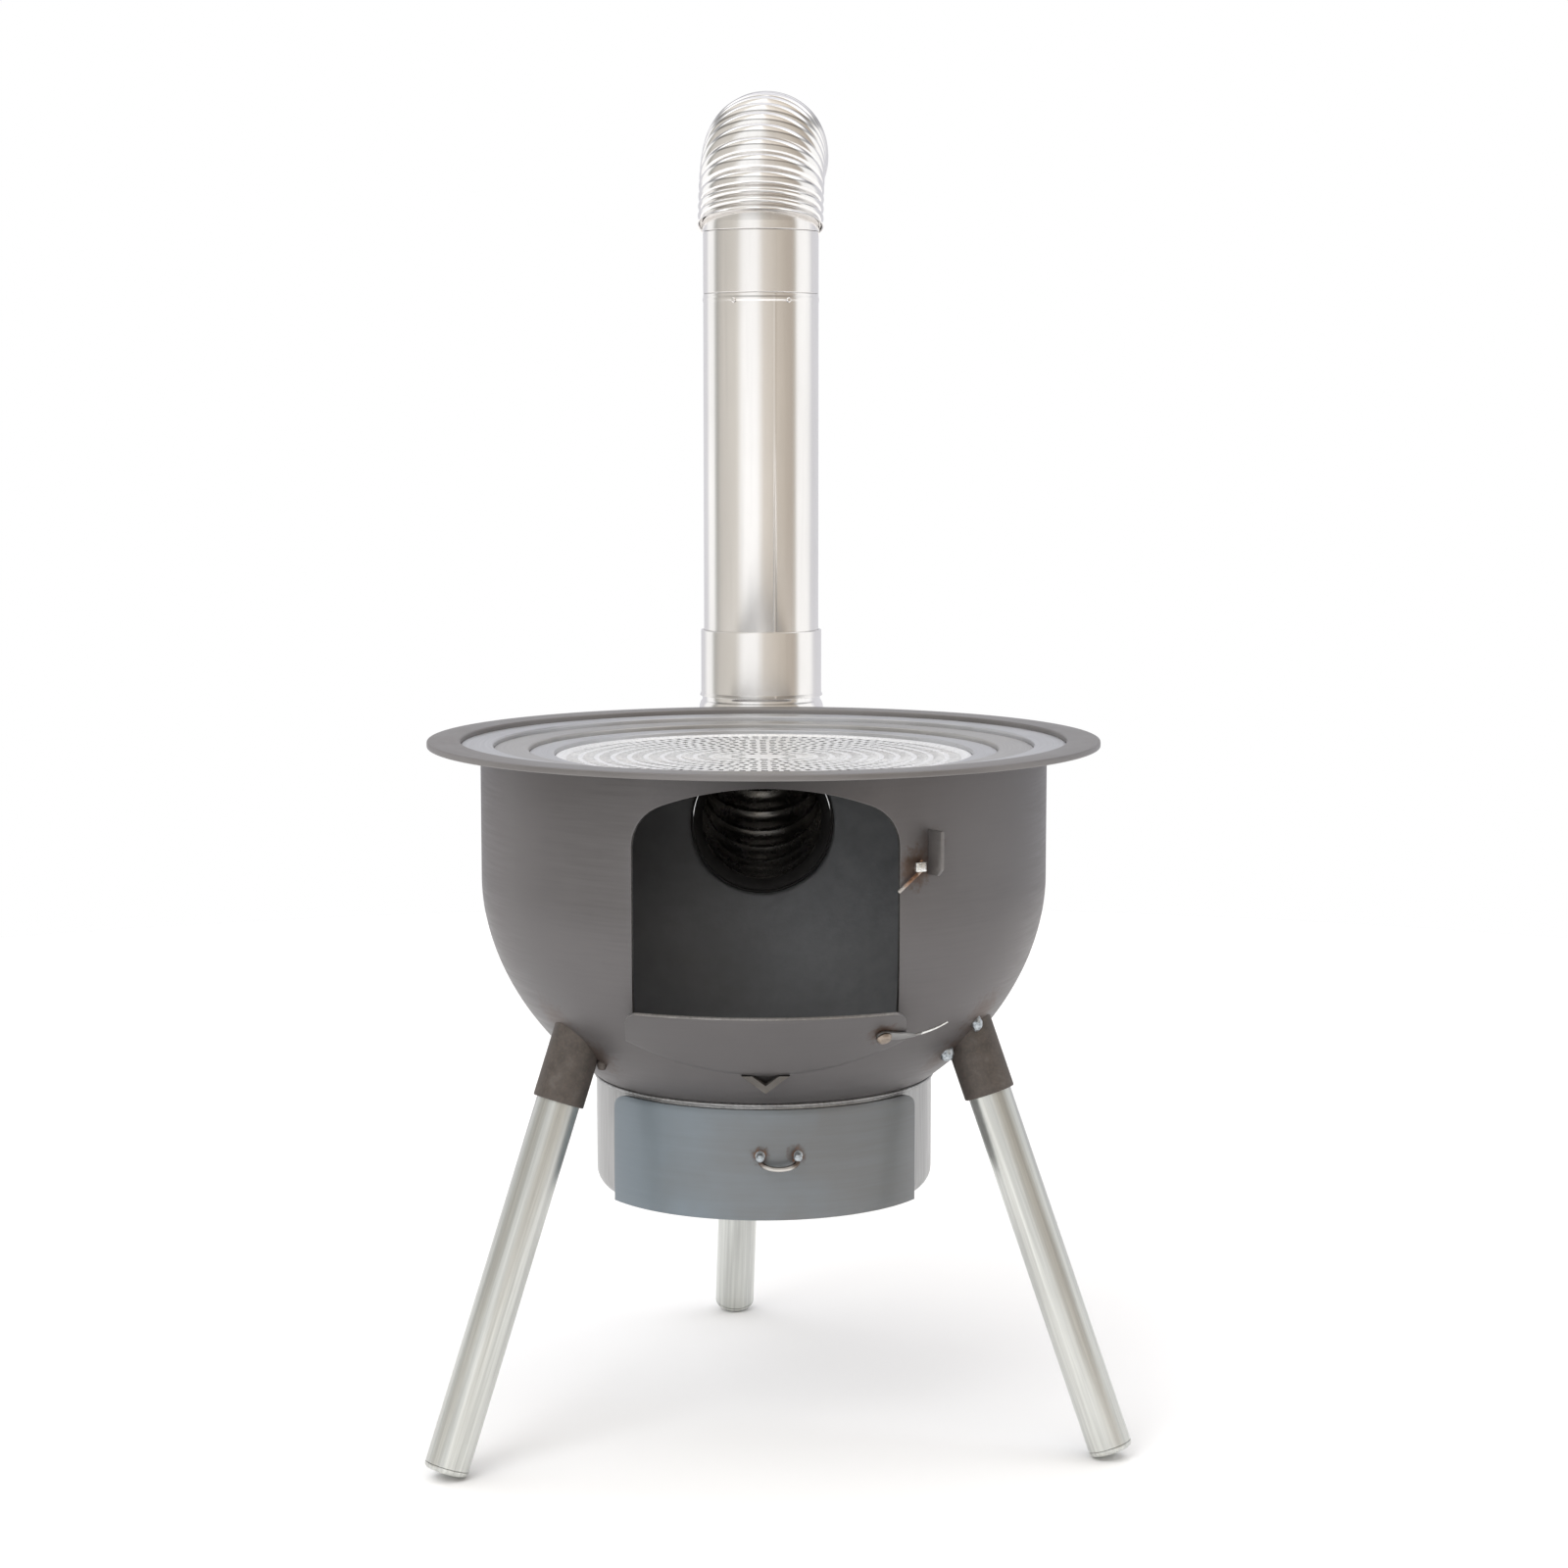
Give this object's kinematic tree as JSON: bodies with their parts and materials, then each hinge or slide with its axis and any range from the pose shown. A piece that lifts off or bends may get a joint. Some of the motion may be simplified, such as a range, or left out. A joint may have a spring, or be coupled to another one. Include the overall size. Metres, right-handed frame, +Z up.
{
  "type": "chiminea",
  "caption": "Round steel garden stove with an arched fire opening, stepped ring top and perforated grill, ash drawer under the bowl, splayed tripod and a rear flue with pleated bends.",
  "frame": {"origin": "on the floor, under the middle of the whole stove's plan", "axes": "+Z up, -Y towards the side with the fire opening and the ash drawer, +X to the right when facing the opening"},
  "size_m": [0.5168, 0.6362, 1.0243],
  "materials": {
    "bowl_steel": "matt warm dark grey",
    "ring_steel": "matt mid grey",
    "grate_iron": "sooty black",
    "mesh_steel": "bright perforated sheet",
    "drum_steel": "satin sheet steel",
    "drawer_steel": "blue-grey rolled sheet",
    "raw_steel": "raw brown mill scale",
    "bright_steel": "satin bright steel",
    "stainless": "polished stainless",
    "rusty_wire": "heat-tinted wire with light rust"
  },
  "bodies": {
    "stove": {"firebox_bowl": "bowl_steel", "sill_plate": "bowl_steel", "sill_bracket": "raw_steel", "top_rim": "bowl_steel", "fire_grate": "grate_iron", "ash_drum": "drum_steel", "weld_tack_1": "bright_steel", "weld_tack_2": "bright_steel", "weld_tack_3": "bright_steel", "flue_inlet": "raw_steel", "flue_elbow_lower": "stainless", "flue_collar_lower": "stainless", "catch_bolt": "bright_steel", "catch_lug": "bowl_steel", "lever_bolt": "bright_steel", "leg_1": "bright_steel", "leg_2": "bright_steel", "leg_3": "bright_steel", "leg_socket_1": "raw_steel", "leg_socket_2": "raw_steel", "leg_socket_3": "raw_steel", "foot_cap_1": "bright_steel", "foot_cap_2": "bright_steel", "foot_cap_3": "bright_steel"},
    "ash_drawer": {"drawer_front": "drawer_steel", "drawer_tray": "drum_steel", "handle_stud_1": "bright_steel", "handle_stud_2": "bright_steel", "drawer_handle": "bright_steel"},
    "outer_ring": {"outer_ring": "ring_steel"},
    "middle_ring": {"middle_ring": "ring_steel"},
    "inner_ring": {"inner_ring": "ring_steel"},
    "grill": {"grill_plate": "mesh_steel"},
    "flue": {"flue_pipe_lower": "stainless", "flue_pipe_upper": "stainless", "flue_rivet_1": "stainless", "flue_rivet_2": "stainless", "flue_rivet_3": "stainless"},
    "flue_top": {"flue_collar_top": "stainless", "flue_elbow_top": "stainless", "flue_outlet_band": "stainless"},
    "catch_hook": {"catch_hook": "rusty_wire"},
    "lever": {"lever": "bright_steel"}
  },
  "joints": [
    {"name": "drawer_slide", "type": "slide", "parent": "stove", "child": "ash_drawer", "axis": [0, -1, 0], "range_m": [0, 0.215]},
    {"name": "outer_ring_lift", "type": "slide", "parent": "stove", "child": "outer_ring", "axis": [0, 0, 1], "range_m": [0, 0.08]},
    {"name": "middle_ring_lift", "type": "slide", "parent": "outer_ring", "child": "middle_ring", "axis": [0, 0, 1], "range_m": [0, 0.08]},
    {"name": "inner_ring_lift", "type": "slide", "parent": "middle_ring", "child": "inner_ring", "axis": [0, 0, 1], "range_m": [0, 0.08]},
    {"name": "grill_lift", "type": "slide", "parent": "inner_ring", "child": "grill", "axis": [0, 0, 1], "range_m": [0, 0.08]},
    {"name": "flue_lift", "type": "slide", "parent": "stove", "child": "flue", "axis": [0, 0, 1], "range_m": [0, 0.12]},
    {"name": "flue_top_swivel", "type": "hinge", "parent": "flue", "child": "flue_top", "pos_m": [-0.00835, 0.2469, 0.905], "axis": [0, 0, 1], "continuous": true},
    {"name": "catch_hook_swing", "type": "hinge", "parent": "stove", "child": "catch_hook", "pos_m": [0.09577, -0.25139, 0.4448], "axis": [0.4939, -0.8695, 0], "range_deg": [-140, 45]},
    {"name": "lever_swing", "type": "hinge", "parent": "stove", "child": "lever", "pos_m": [0.07338, -0.2458, 0.3253], "axis": [0.2868, -0.6234, -0.7274], "range_deg": [-40, 110]}
  ]
}
